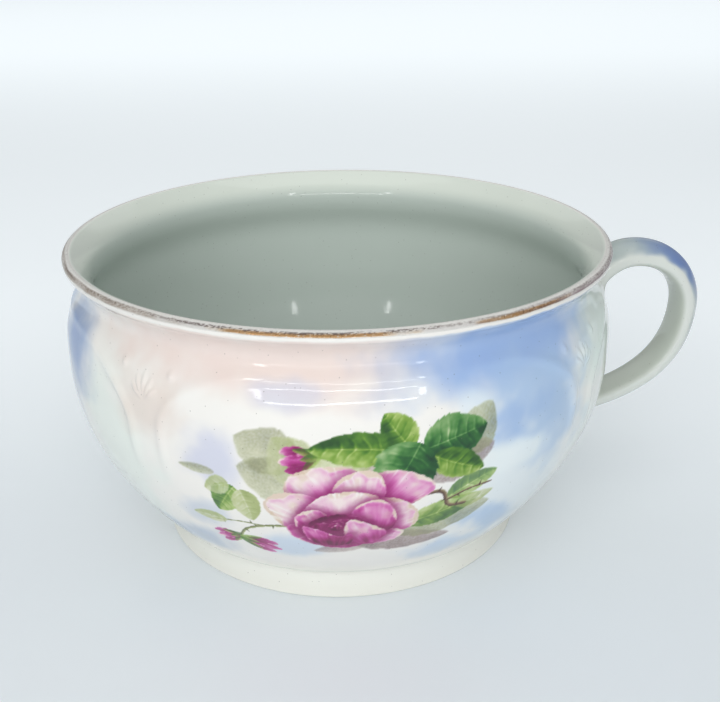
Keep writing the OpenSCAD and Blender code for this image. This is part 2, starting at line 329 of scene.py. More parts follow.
def leaf(art, x, y, angle, length, width, greens, seed,
         bend=0.0, teeth=11, veins=7, solid=1.0, light_side=1, soft=0.25):
    """A serrated leaf with a bent midrib; greens run from its shaded half to its lit half."""
    where, u, v = art.frame(x, y, angle, length * 1.3 + 3)
    n = u / length
    v = v - bend * length * n * n
    inside = np.clip(n, 0, 1)
    half = width / 2 * np.sin(math.pi * inside**0.8) ** 0.68
    sway = noise(u / 5 + 50, v / 5 + 50, seed)
    tooth = (inside * teeth + 0.4 * sway + 0.3 * (v > 0)) % 1
    half = half * (1 - 0.07 * (1 - tooth) * (teeth > 0) + 0.08 * sway)
    out = np.hypot(np.maximum(np.abs(v) - half, 0), u - inside * length) + np.minimum(np.abs(v) - half, 0)
    side = np.clip(v / (half + 0.2) * light_side, -1.2, 1.2)
    patch = clouds(u / 6 + 60, v / 6 + 60, seed + 1, 3)
    t = 0.40 + 0.24 * np.tanh(side * 3) + 0.22 * patch + 0.10 * np.abs(side)
    if veins:
        phase = (inside * veins - 0.9 * np.abs(v) / (width / 2) + 0.25 * sway) % 1
        line = np.exp(-(((phase - 0.5) / 0.1) ** 2)) * smoothstep(1.0, 0.2, np.abs(side))
        valley = np.exp(-(((phase - 0.72) / 0.16) ** 2)) * smoothstep(1.0, 0.4, np.abs(side))
        t = t + (0.15 + 0.15 * patch) * line - 0.13 * valley
        t = t + 0.3 * np.exp(-((v / 0.3) ** 2)) * smoothstep(0.98, 0.6, inside)
    colour = ramp(t, greens)
    grain = 1 if veins else 0.86 + 0.2 * noise(u * 1.1 + 70, v * 1.1 + 70, seed + 2)
    art.lay(where, solid * grain * smoothstep(soft, -soft, out) * (inside > 0.003), colour)


def stem(art, points, width, colours, thorns=0, seed=0):
    """A stem along a smooth line through points, with thorns along it."""
    p = np.asarray(points, float)
    s = np.linspace(0, len(p) - 1, 8 * (len(p) - 1) + 1)
    line = smooth_line(p, s)
    for k, (a, b) in enumerate(zip(line[:-1], line[1:])):
        length = np.hypot(*(b - a))
        where, u, v = art.frame(*a, math.degrees(math.atan2(*(b - a)[::-1])), length + 3)
        w = width / 2 * (1 + 0.3 * math.sin(2.3 * k + seed))
        d = np.hypot(u - np.clip(u, 0, length), v)
        art.lay(where, 0.92 * smoothstep(w + 0.2, w - 0.2, d), ramp(0.5 + 0.5 * v / w, colours))
    for k in range(thorns):
        i = int((k + 0.6) / thorns * (len(line) - 1))
        d = line[i + 1] - line[i]
        turn = math.degrees(math.atan2(d[1], d[0])) + (THORN_ANGLE if k % 2 else -THORN_ANGLE)
        where, u, v = art.frame(*line[i], turn, 4)
        out = np.where((u < 0) | (u > THORN_L), 1, np.abs(v) - THORN_W * (1 - u / THORN_L))
        art.lay(where, 0.9 * smoothstep(0.2, -0.2, out), unit(colours[0]))


def smooth_line(p, s, closed=False):
    """Points at steps s along a Catmull-Rom line through p, whose last point is its first if closed."""
    before, after = (p[-2], p[1]) if closed else (2 * p[0] - p[1], 2 * p[-1] - p[-2])
    q = np.vstack([before, p, after])
    i = np.minimum(s.astype(int), len(p) - 2)
    t = (s - i)[:, None]
    a, b, c, d = q[i], q[i + 1], q[i + 2], q[i + 3]
    return 0.5 * (2 * b + (c - a) * t + (2 * a - 5 * b + 4 * c - d) * t * t + (3 * b - a - 3 * c + d) * t**3)


FRESH = [(36, 80, 30), (60, 108, 34), (92, 140, 42), (130, 166, 66), (174, 196, 112), (212, 224, 166)]
DARK = [(18, 58, 34), (26, 82, 40), (44, 106, 46), (80, 138, 68), (130, 170, 108), (190, 208, 160)]
OLIVE = [(120, 124, 92), (146, 150, 108), (172, 176, 132), (196, 200, 160)]
MAUVE = [(116, 96, 98), (140, 120, 118), (164, 146, 140), (192, 178, 168)]
PALE = [(150, 166, 96), (176, 188, 124), (204, 210, 164), (228, 230, 204)]
BARK = [(78, 56, 52), (120, 96, 76), (170, 158, 116)]
SAP = [(92, 100, 58), (132, 142, 84), (182, 190, 132)]
HEART_PETAL = ((-1, -0.2), (-0.5, 0.6), (0.5, 0.7), (1, 0), (0.5, -0.7), (-0.5, -0.7))


def spray(art):
    """A generic spray of one full rose, three buds and its leaves, about the middle of the front panel."""
    # Shadow leaves, the farthest back
    leaf(art, -18, 21, 150, 23, 20, OLIVE, 1, 0.1, 4, 0, 0.66, soft=0.9)
    leaf(art, -12, 10, 168, 28, 21, OLIVE, 2, -0.1, 4, 0, 0.66, soft=0.9)
    leaf(art, -12, 14, 128, 22, 20, PALE, 3, 0, 4, 0, 0.66, soft=0.9)
    leaf(art, 28, 14, 24, 28, 18, MAUVE, 4, -0.1, 6, 0, 0.7, soft=0.7)
    leaf(art, 42, 22, 44, 20, 17, OLIVE, 5, 0.2, 5, 0, 0.72, soft=0.7)
    leaf(art, 14, 12, 76, 20, 24, MAUVE, 6, 0, 4, 0, 0.7, soft=0.8)
    leaf(art, 2, 14, 118, 18, 24, PALE, 7, 0.1, 4, 0, 0.75, soft=0.8)
    leaf(art, 0, -17, -12, 44, 15, MAUVE, 8, 0.1, 6, 0, 0.85, soft=0.9)
    leaf(art, 8, -22, -174, 22, 8, MAUVE, 9, 0.1, 6, 0, 0.7, soft=0.9)
    leaf(art, 18, -12, 2, 40, 18, OLIVE, 10, 0.12, 7, 0, 0.7, soft=0.7)
    # Stems and side leaves
    leaf(art, 22, -9, 12, 32, 13, FRESH, 11, 0.08, 9, 6, 0.75, 1, 0.5)
    leaf(art, 38, 2, 32, 21, 11, FRESH, 12, -0.15, 8, 6, 0.72, -1, 0.5)
    leaf(art, 42, -3, 0, 16, 7, PALE, 13, 0.2, 6, 4, 0.75, 1, 0.5)
    stem(art, [(20, 4), (31, 6), (36, 5), (39, -2), (46, -3)], 1.5, BARK, 4, 1)
    stem(art, [(38, 1), (46, 4), (56, 5)], 0.9, BARK, 2, 2)
    stem(art, [(-18, -9), (-30, -10), (-40, -14), (-45, -21)], 1.1, SAP, 5, 3)
    stem(art, [(-32, -10.5), (-43, -10), (-56, -12)], 0.6, SAP, 2, 4)
    leaf(art, -48, -11, 170, 15, 6.5, PALE, 14, 0.12, 6, 4, 0.8, 1, 0.4)
    leaf(art, -41, 9, 232, 16, 13, FRESH, 15, 0.1, 6, 5, 0.85, 1, 0.4)
    leaf(art, -39, 8, 286, 16, 12, PALE, 16, -0.1, 6, 5, 0.9, -1, 0.4)
    leaf(art, -43, 10, 196, 11, 9, PALE, 17, 0.1, 5, 4, 0.75, 1, 0.5)
    leaf(art, -48, 14, 178, 15, 4, OLIVE, 18, 0, 4, 0, 0.7, soft=0.5)
    # Buds
    stem(art, [(6, 24), (-2, 26), (-11, 24)], 0.9, SAP, 2, 5)
    bud(art, -10, 24.5, 190, 14, 9, 21)
    bud(art, -45, -21, -166, 13, 8, 22)
    bud(art, -44, -22, -22, 17, 9, 23)
    # The large leaves above the bloom
    leaf(art, 20, 26, 172, 33, 14, FRESH, 24, 0.10, 9, 7, 1, 1, 0.4)
    leaf(art, 23, 26, 132, 17, 15, FRESH, 25, -0.12, 7, 6, 1, -1, 0.4)
    leaf(art, 27, 25, 14, 25, 20, DARK, 26, 0, 9, 7, 1, 1, 0.4)
    leaf(art, 31, 22, -30, 22, 13, FRESH, 27, 0.1, 7, 6, 1, -1, 0.4)
    leaf(art, 26, 28, 244, 25, 24, DARK, 28, -0.06, 9, 7, 1, -1, 0.4)
    bloom(art)


def bud(art, x, y, angle, length, width, seed):
    """A half-open bud in its green cup, pointing along an angle."""
    c, s = heading(angle)

    def at(u, v):
        return (x + u * length * c - v * width * s, y + u * length * s + v * width * c)

    for k, (lean, reach) in enumerate(((0.28, 0.86), (-0.26, 0.9), (0.02, 1.0))):
        shape = [at(0, 0), at(0.35, lean - 0.26), at(0.75 * reach, lean * 1.5 - 0.22), at(reach, lean * 1.6),
                 at(0.75 * reach, lean * 1.5 + 0.22), at(0.35, lean + 0.26)]
        petal(art, shape, at(0, 0), at(1, lean), 0.12, 0.66, seed * 10 + k, 0.8, 0.3, 0.4)
    for k, turn in enumerate((-30, 26, -4)):
        leaf(art, *at(-0.1, 0), angle + turn, length * (0.72 - 0.1 * k), width * 0.36, FRESH,
             seed * 10 + 5 + k, 0.1, 0, 0, 0.9)


def bloom(art):
    """A full rose that nods a little to the front: spread back petals, a folded cup, and a deep heart."""

    def add(*shape):
        petal(art, *shape, scale=BLOOM_SCALE)

    # Back petals
    add([(-19, 7), (-18, 14), (-10, 18), (1, 18), (5, 13), (1, 5), (-9, 2)],
        (-3, 3), (-11, 18), 0.36, 1.08, 101, 2.6, 1.0)
    add([(4, 9), (8, 15), (17, 16), (27, 11), (28, 6), (19, 1), (9, 2)],
        (10, 2), (21, 14), 0.18, 0.84, 102, 2.0, 0.5)
    add([(-4, 7), (-2, 14), (6, 17), (11, 14), (12, 6), (5, 1)],
        (5, 3), (4, 17), 0.50, 1.1, 103, 3.0, 1.0)
    add([(-27, 3), (-20, 8), (-9, 6), (-6, -3), (-12, -10), (-20, -9), (-25, -3)],
        (-8, -6), (-25, 4), 0.46, 1.12, 104, 2.8, 1.0)
    add([(9, 5), (18, 4), (24, -3), (23, -10), (14, -12), (6, -7)],
        (7, -9), (22, 0), 0.22, 1.0, 105, 2.8, 1.0)
    # Under petals
    add([(2, -8), (12, -9), (20, -12), (17, -17), (7, -19), (0, -17)],
        (4, -10), (17, -17), 0.36, 0.90, 106, 1.6, 0.5)
    add([(-19, -7), (-9, -8), (-3, -14), (-8, -19), (-15, -17), (-20, -12)],
        (-6, -9), (-17, -17), 0.14, 0.66, 107, 1.2, 0.2)
    add([(-10, -12), (-1, -12), (7, -15), (4, -20), (-4, -21), (-11, -18)],
        (-2, -11), (-3, -21), 0.06, 0.52, 108, 1.4, 0.2)
    # Cup, from the back to the sides
    add([(-14, 0), (-8, 7), (2, 9), (10, 6), (9, -1), (0, -5), (-10, -5)],
        (-2, -7), (-1, 7), 0.48, 1.1, 109, 2.6, 1.0, 0.8)
    add([(4, 3), (11, 5), (16, -1), (16, -9), (9, -13), (2, -10), (1, -3)],
        (9, -13), (9, 4), 0.12, 0.74, 110, 1.6, 0.7, 0.8)
    add([(-17, -3), (-11, 1), (-6, -2), (-6, -9), (-10, -14), (-16, -12)],
        (-9, -13), (-14, 0), 0.18, 0.78, 111, 1.6, 0.6, 0.8)
    # Heart
    add([(-12, -5), (-4, -1), (5, -3), (8, -9), (2, -14), (-7, -15), (-12, -11)],
        (-2, -10), (-2, 6), 0.0, 0.34, 112, 0.8, 0.1, 0.8)
    for k in range(9):
        c, s = heading(200 + 47 * k)
        far, size = 5.2 - 0.5 * k, 4.6 - 0.3 * k
        x, y = -2 + 1.25 * far * c, -7.5 + 0.7 * far * s
        add([(x + size * u, y + size * v) for u, v in HEART_PETAL],
            (x, y - 0.6 * size), (x, y + size), 0.0, 0.42 + 0.07 * (k % 3), 120 + k, 0.8, 0.15, 0.7)
    # Front of the cup
    add([(1, -4), (7, -6), (14, -12), (9, -18), (2, -17), (-1, -11)],
        (8, -17), (2, -4), 0.28, 0.94, 141, 1.8, 0.8, 0.8)
    add([(-15, -8), (-10, -9), (-3, -13), (2, -12), (1, -18), (-7, -19), (-13, -16)],
        (-6, -20), (-7, -9), 0.06, 0.64, 142, 1.3, 0.4, 0.8)


WHITE, GREEN_WHITE, COOL_WHITE = (249, 246, 241), (240, 247, 240), (236, 245, 249)
PINK, BEIGE = (243, 226, 219), (236, 221, 211)
BLUE, SKY, LAVENDER, STEEL = (158, 187, 233), (178, 204, 236), (212, 215, 233), (182, 197, 220)
DEEP_BLUE, CLOUD, PALE_GREEN = (124, 152, 202), (243, 251, 252), (222, 236, 230)
INSIDE, LIT_INSIDE_LIP, CREAM_GLAZE = (206, 216, 209), (234, 241, 231), (243, 243, 235)

# Airbrushed patches, first to last, as patch takes them
PATCHES = (
    # Sides
    (GREEN_WHITE, 0.9, -146, 64, 14, 46),
    (GREEN_WHITE, 0.9, -22, 70, 34, 62),
    (PALE_GREEN, 0.8, -34, 106, 16, 22, 0, 0.3),
    (GREEN_WHITE, 0.9, 30, 66, 30, 60),
    (GREEN_WHITE, 0.9, 150, 60, 30, 50),
    (COOL_WHITE, 0.9, -60, 60, 20, 46, 0, 0.3),
    # Front
    (PINK, 0.95, -112, 118, 38, 15),
    (BEIGE, 0.7, -134, 96, 9, 15),
    (BLUE, 0.95, -64, 116, 27, 18, 0.1, 0.35),
    (SKY, 0.9, -62, 97, 14, 17, 0, 0.4),
    (SKY, 0.75, -55, 80, 11, 18),
    (BLUE, 0.5, -66, 92, 7, 9, 0, 0.7),
    (CLOUD, 0.85, -65, 74, 10, 7, 0, 0.7),
    (CLOUD, 0.6, -74, 100, 5, 6, 0, 0.7),
    (SKY, 0.85, -65, 43, 10, 9, -0.9),
    (SKY, 0.6, -74, 30, 12, 8),
    (LAVENDER, 0.85, -121, 81, 7, 13),
    (LAVENDER, 0.6, -108, 107, 7, 6),
    (STEEL, 0.5, -126, 53, 6, 8),
    (STEEL, 0.85, -133, 32, 12, 9, 0.3),
    (SKY, 0.55, -109, 40, 8, 9),
    (DEEP_BLUE, 0.9, -164, 101, 11, 20, 0, 0.3),
    (STEEL, 0.9, -171, 78, 11, 30, 0, 0.3),
    # Left, back and handle side
    (BLUE, 0.8, 172, 106, 15, 16),
    (PINK, 0.9, 112, 118, 34, 14),
    (BLUE, 0.9, 62, 110, 20, 16, -0.2),
    (SKY, 0.8, 58, 88, 10, 18),
    (LAVENDER, 0.8, 122, 84, 8, 14),
    (SKY, 0.7, 66, 40, 10, 10, 0.8),
    (STEEL, 0.7, 128, 34, 12, 9),
    (SKY, 0.5, 18, 42, 12, 9),
)


def airbrush(az, z):
    """Colours of the sprayed ground on the outside, as display values from 0 to 1."""
    big, small = round_clouds(az, z, 46, 1), round_clouds(az, z, 15, 11)
    rgb = plain(WHITE, z)

    def patch(colour, amount, at, height, wide, high, lean=0.0, ragged=0.5):
        """A soft-edged patch about an angle and a height, wide in degrees and high in millimetres."""
        x = turned(az, at) / wide
        d = np.hypot(x, (z - height) / high - lean * x) + ragged * (0.6 * small + 0.4 * big)
        rgb[:] = mix(rgb, unit(colour), amount * smoothstep(1.3, 0.3, d))

    for row in PATCHES:
        patch(*row)
    # The spray fades out just above the foot
    a = smoothstep(FOOT_H + 4, CREASE_Z + 9, z + 3 * big + 2 * small)
    return mix(unit(CREAM_GLAZE), rgb, a)


@lru_cache(maxsize=None)
def climb():
    """Heights up the outside, and the distance along it to each."""
    z = np.linspace(FOOT_H, NECK_Z, 800)
    return z, run_along(outer_r(z), z)


def flat_picture(az, z, rgb, at_az, at_z):
    """A flat picture round a place on the bowl: millimetres along the surface to the right and up."""
    heights, run = climb()
    x = np.radians(turned(az, at_az)) * BELLY_R
    return Art(x, np.interp(z, heights, run) - np.interp(at_z, heights, run), rgb)


def bowl_paint(az, z):
    """Display colours of the bowl's outside, with the spray on the front and a sprig on the back."""
    rgb = airbrush(az, z)
    places = ((BLOOM_AZ, BLOOM_Z, SPRAY_HALF, spray), (SPRIG_AZ, SPRIG_Z, SPRIG_HALF, sprig))
    for at_az, at_z, half, draw in places:
        near = np.where(np.abs(turned(az, at_az)) < half + 3)[0]
        picture = flat_picture(az[near], z[near], rgb[near], at_az, at_z)
        draw(picture)
        rgb[near] = picture.rgb
    return rgb


def sprig(art):
    """A small sprig of one bud and its leaves."""
    leaf(art, -4, -4, 200, 18, 13, OLIVE, 201, 0.1, 5, 0, 0.6, soft=0.8)
    stem(art, [(12, -16), (4, -8), (0, 0), (-3, 8)], 1.1, SAP, 4, 3)
    leaf(art, 3, -6, 12, 19, 11, FRESH, 202, -0.1, 9, 6, 0.95, 1)
    leaf(art, 1, -1, 152, 20, 12, DARK, 203, 0.1, 9, 6, 0.95, -1)
    leaf(art, 7, -10, 262, 14, 8, PALE, 204, 0.1, 7, 5, 0.85, 1)
    bud(art, -3, 8, 104, 15, 10, 205)


# Share of the light that the palest paint sends back
PALEST = 0.88


def painted(rgb):
    """Scene-linear colours of painted glaze from display values."""
    rgb = np.clip(rgb, 0, 1)
    return PALEST * np.where(rgb <= 0.04045, rgb / 12.92, ((rgb + 0.055) / 1.055) ** 2.4)


# Mesh making


def bridge(a, b):
    """Faces between two rings of vertex numbers, where one may have a whole number of times as many."""
    if len(a) < len(b):
        return [f[::-1] for f in bridge(b, a)]
    k, n, m = len(a) // len(b), len(b), len(a)
    return [[*(a[(i * k + j) % m] for j in range(k + 1)), b[(i + 1) % n], b[i]] for i in range(n)]


def skin(rings):
    """Faces between rings, each joined to the next."""
    return [f for a, b in zip(rings[:-1], rings[1:]) for f in bridge(a, b)]


def ring_numbers(count, columns, start=0):
    return start + np.arange(count * columns).reshape(count, columns)


def add_object(name, data):
    thing = bpy.data.objects.new(name, data)
    bpy.context.scene.collection.objects.link(thing)
    return thing


def make_piece(name, points, faces, normals, paint, bare, material, slot, *nodes, calm=0):
    """A smooth mesh piece in the row frame that stands for nodes, with its own normals and painted colours.

    Its glaze has no ripples where calm is 1.
    """
    mesh = bpy.data.meshes.new(name)
    mesh.from_pydata((points * MM).tolist(), [], [list(f) for f in faces])
    mesh.shade_smooth()
    layer = mesh.color_attributes.new("paint", "FLOAT_COLOR", "POINT")
    rgba = np.ones((len(points), 4), np.float32)
    rgba[:, :3] = painted(paint)
    rgba[:, 3] = bare
    layer.data.foreach_set("color", rgba.ravel())
    still = mesh.attributes.new("calm", "FLOAT", "POINT")
    still.data.foreach_set("value", np.broadcast_to(calm, len(points)).astype(np.float32))
    mesh.update()
    mesh.normals_split_custom_set_from_vertices((normals / np.linalg.norm(normals, axis=1)[:, None]).tolist())
    piece = add_object(name, mesh)
    piece.data.materials.append(material)
    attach(piece, "root")
    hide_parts(*nodes)


def turn_profile(profile, columns):
    """Points of (radius, height) pairs turned round the axis, ring by ring, and their angles."""
    az = np.tile(np.arange(columns) * 360 / columns, len(profile))
    r, z = (np.repeat(profile[:, k], columns) for k in (0, 1))
    return about_axis(r, az, z), az


def lathe(profile, columns):
    """Points, faces and angles of a closed profile that is turned round the axis."""
    rings = ring_numbers(len(profile), columns)
    points, az = turn_profile(profile, columns)
    return points, skin([*rings, rings[0]]), az


def lathe_normals(profile, columns, fixed):
    """Smooth outward normals of a closed profile; fixed gives (radius, height) normals of single points."""
    t = np.roll(profile, -1, 0) - np.roll(profile, 1, 0)
    n = np.stack([t[:, 1], -t[:, 0]], 1)
    for i, v in fixed.items():
        n[i] = v
    return turn_profile(n, columns)[0]


# Glazes: scales are features to the metre, and heights are in metres

SPECK_SCALE, SPECK_SIZE, SPECK_FROM, SPECK_DARK = 400.0, 0.09, 0.55, 0.42
DEPTH_SCALE, DEPTH_TINT = 65.0, 0.10
RIPPLE_SCALE, RIPPLE_H, RIPPLE = 38.0, 0.0024, 0.5
PEEL_SCALE, PEEL_H, PEEL = 520.0, 0.0002, 0.06
GRAIN_SCALE, GRAIN_H, GRAIN = 900.0, 0.0002, 0.3
POOLED_TINT, IRON, TARNISH = (0.80, 0.86, 0.82, 1), (0.10, 0.085, 0.075, 1), (0.55, 0.48, 0.42, 1)


class Nodes:
    """A new material, with short names for making and joining its shader nodes."""

    def __init__(self, name):
        self.material = bpy.data.materials.new(name)
        self.material.use_nodes = True
        self.tree = self.material.node_tree
        self.shader = self.tree.nodes["Principled BSDF"]
        self.place = self.add("TexCoord").outputs["Object"]

    def add(self, kind, **inputs):
        node = self.tree.nodes.new(f"ShaderNode{kind}")
        self.fill(node, **inputs)
        return node

    def fill(self, node, **inputs):
        for name, value in inputs.items():
            self.feed(node.inputs[name.replace("_", " ")], value)

    def feed(self, socket, value):
        if isinstance(value, bpy.types.NodeSocket):
            self.tree.links.new(value, socket)
        else:
            socket.default_value = value

    def attribute(self, name):
        node = self.add("Attribute")
        node.attribute_name = name
        return node.outputs

    def noise(self, scale, detail, **inputs):
        return self.add("TexNoise", Vector=self.place, Scale=scale, Detail=detail, **inputs).outputs["Fac"]

    def math(self, operation, *values):
        node = self.tree.nodes.new("ShaderNodeMath")
        node.operation = operation
        for socket, value in zip(node.inputs, values):
            self.feed(socket, value)
        return node.outputs[0]

    def blend(self, kind, amount, a, b):
        node = self.tree.nodes.new("ShaderNodeMix")
        node.data_type, node.blend_type = "RGBA", kind
        for name, value in zip(("Factor_Float", "A_Color", "B_Color"), (amount, a, b)):
            self.feed(next(i for i in node.inputs if i.identifier == name), value)
        return next(o for o in node.outputs if o.identifier == "Result_Color")


def painted_glaze():
    """Clear glossy glaze over the painted colours, with specks, a little unevenness and slow ripples."""
    n = Nodes("painted_glaze")
    paint, calm = n.attribute("paint"), n.attribute("calm")
    # Dark specks of iron in the glaze, on nearly half of the cells
    cells = n.add("TexVoronoi", Vector=n.place, Scale=SPECK_SCALE)
    small = n.math("LESS_THAN", cells.outputs["Distance"], SPECK_SIZE)
    chosen = n.add("SeparateColor", Color=cells.outputs["Color"])
    few = n.math("GREATER_THAN", chosen.outputs["Red"], SPECK_FROM)
    speck = n.math("MULTIPLY", n.math("MULTIPLY", small, few), SPECK_DARK)
    # Uneven depth of the glaze
    tint = n.math("MULTIPLY", n.noise(DEPTH_SCALE, 5.0, Roughness=0.6), DEPTH_TINT)
    colour = n.blend("MULTIPLY", tint, paint["Color"], POOLED_TINT)
    colour = n.blend("MIX", speck, colour, IRON)
    # Bare clay is rougher than glaze
    rough = n.math("MULTIPLY_ADD", n.noise(420.0, 3.0), 0.05, 0.045)
    rough = n.math("MULTIPLY_ADD", paint["Alpha"], 0.6, rough)
    # Slow ripples of the fired surface, none where it is calm, with a fine orange peel
    sway = n.math("MULTIPLY_ADD", calm["Fac"], -RIPPLE, RIPPLE)
    ripple = n.add("Bump", Strength=sway, Distance=RIPPLE_H, Height=n.noise(RIPPLE_SCALE, 1.0))
    surface = n.add("Bump", Strength=PEEL, Distance=PEEL_H, Height=n.noise(PEEL_SCALE, 2.0),
                    Normal=ripple.outputs["Normal"])
    n.fill(n.shader, Base_Color=colour, Roughness=rough, IOR=1.52, Normal=surface.outputs["Normal"])
    return n.material


def worn_gilding():
    """Thin gilding: metal where it is left, glaze where it is worn through."""
    n = Nodes("worn_gilding")
    paint, grain = n.attribute("paint"), n.noise(GRAIN_SCALE, 4.0)
    scratches = n.add("Bump", Strength=GRAIN, Distance=GRAIN_H, Height=grain)
    n.fill(
        n.shader,
        Base_Color=n.blend("MULTIPLY", n.math("MULTIPLY", grain, 0.4), paint["Color"], TARNISH),
        Metallic=n.math("MULTIPLY", paint["Alpha"], 0.55),
        Roughness=n.math("MULTIPLY_ADD", grain, 0.3, 0.15),
        Normal=scratches.outputs["Normal"],
    )
    return n.material


# Bowl: the outside is a sheet in angle and height, made finer where the painting and the shells are

SHOULDER_Z, CURL_Z = 106.0, CREASE_Z + 8
BOTTOM_RADII, UNDER_RADII = (60.0, 45.0, 30.0, 15.0), (15.0, 30.0, 45.0, 60.0, 74.0)
FINE_HALF, FINE_TOP, NUDGE = 8.0, 15.0, 0.05


def spaced(a, b, step):
    return np.linspace(a, b, int(round(abs(b - a) / step)) + 1)


def bowl_sheet():
    """Angles, heights and faces of the outside, with the finer faces split."""
    cove, belly = spaced(FOOT_H, CREASE_Z, COVE_ROW), spaced(CREASE_Z, SHOULDER_Z, ROW)
    heights = np.concatenate([cove[:-1], belly[:-1], spaced(SHOULDER_Z, NECK_Z, ROW / 2)])
    angles = np.arange(COLUMNS) * (360 / COLUMNS)
    rings = ring_numbers(len(heights), COLUMNS)
    flat = np.stack([np.tile(angles, len(heights)), np.repeat(heights, COLUMNS), np.zeros(rings.size)], 1)
    mesh = bpy.data.meshes.new("sheet")
    mesh.from_pydata(flat.tolist(), [], skin(rings))
    bm = bmesh.new()
    bm.from_mesh(mesh)
    bm.faces.ensure_lookup_table()
    first = np.array([v.co.xy for v in bm.verts])
    corner = np.array([f.verts[0].index for f in bm.faces])
    az, z = first[corner, 0], first[corner, 1]

    def near(about, half, low, high):
        return (np.abs(turned(az, about)) < half) & (z > low) & (z < high)

    fine = near(SPRAY_AZ, SPRAY_HALF, SPRAY_LOW, SPRAY_HIGH)
    fine |= near(SPRIG_AZ, SPRIG_HALF, SPRIG_LOW, SPRIG_HIGH)
    for about in SHELLS:
        fine |= near(about, FINE_HALF, SHELL_Z - SHELL_UNDER, SHELL_Z + FINE_TOP)
    fine &= (az > angles[2]) & (az < angles[-3])
    chosen = sorted({e.index for i in np.where(fine)[0] for e in bm.faces[i].edges})
    bm.edges.ensure_lookup_table()
    bmesh.ops.subdivide_edges(bm, edges=[bm.edges[i] for i in chosen], cuts=2, use_grid_fill=True)
    bm.verts.index_update()
    flat = np.array([v.co.xy for v in bm.verts])
    faces = [[v.index for v in f.verts] for f in bm.faces]
    bm.free()
    bpy.data.meshes.remove(mesh)
    return flat[:, 0], flat[:, 1], faces


def ring_at(z_all, az_all, z):
    """Vertex numbers of the ring at height z, in order of angle."""
    found = np.where(np.abs(z_all - z) < 1e-4)[0]
    return found[np.argsort(az_all[found])]


def bowl():
    """The cast body: the outside with its relief and painting, the inside and the underside."""
    az, z, faces = bowl_sheet()
    points = on_bowl(az, z)
    across = on_bowl(az + NUDGE, z) - on_bowl(az - NUDGE, z)
    below, above = np.maximum(z - NUDGE, FOOT_H), np.minimum(z + NUDGE, NECK_Z)
    normals = np.cross(across, on_bowl(az, above) - on_bowl(az, below))
    low, top = ring_at(z, az, FOOT_H), ring_at(z, az, NECK_Z)
    for ring in (low, top):
        normals[ring, 2] = 0
    # The inside, from the neck down to the floor, and the underside
    inside = inner_points(spaced(NECK_Z, CURL_Z, INNER_ROW))
    curl_top = inside[-1]
    mid = np.array([curl_top[0] - slope(np.array([CURL_Z]))[0] * (curl_top[1] - FLOOR_Z), FLOOR_Z])
    end = np.array([curl_top[0] - FLOOR_TURN, FLOOR_Z])
    curl = bezier([curl_top, (curl_top + 2 * mid) / 3, (end + 2 * mid) / 3, end], np.linspace(0, 1, 9))
    inner = np.vstack([inside, curl[1:], [[r, FLOOR_Z] for r in BOTTOM_RADII]])
    under = np.array([[r, FOOT_H] for r in UNDER_RADII])
    t = np.gradient(inner, axis=0)
    inner_normals = np.stack([t[:, 1], -t[:, 0]], 1)
    inner_normals[0] = -1, 0
    under_normals = np.tile((0.0, -1.0), (len(under), 1))
    numbers = ring_numbers(len(inner) + len(under), INNER_COLUMNS, len(az))
    inner_rings, under_rings = np.split(numbers, [len(inner)])
    for profile, ways in ((inner, inner_normals), (under, under_normals)):
        points = np.vstack([points, turn_profile(profile, INNER_COLUMNS)[0]])
        normals = np.vstack([normals, turn_profile(ways, INNER_COLUMNS)[0]])
    faces += skin([*under_rings, low]) + skin([top, *inner_rings])
    faces += [list(inner_rings[-1]), list(under_rings[0][::-1])]
    paint = plain(INSIDE, points)
    paint[: len(az)] = bowl_paint(az, z)
    paint[under_rings[0][0] :] = unit(CREAM_GLAZE)
    nodes = ["bowl", *(f"{p}_panel_bead" for p in ("handle", "back", "left", "front"))]
    nodes += [f"{c}_shell" for c in ("back_right", "back_left", "front_left", "front_right")]
    calm = np.arange(len(points)) >= len(az)
    make_piece("bowl_body", points, faces, normals, paint, 0, glaze, "body_glaze", *nodes, calm=calm)


# Lip, gilt line and foot ring

# Angles round the lip where the airbrushing stops, the inside's glaze begins and is full, and ripples end
AIRBRUSH_STOP, INSIDE_FROM, INSIDE_FULL, CALM_FROM = 2.5, 92.5, 115.0, 40.0
AIRBRUSH_TOP, AIRBRUSH_FADE, INSIDE_FADE = 127.8, 0.8, 8.0


def arc(centre, r, start, stop, step):
    a = np.radians(spaced(start, stop, step))
    return centre + r * np.stack([np.cos(a), np.sin(a)], 1)


def flare(a, b, count=10):
    t = np.linspace(0, 1, count, endpoint=False)
    a, b = np.asarray(a, float), np.asarray(b, float)
    return np.stack([a[0] + (b[0] - a[0]) * t * t, a[1] + (b[1] - a[1]) * t], 1)


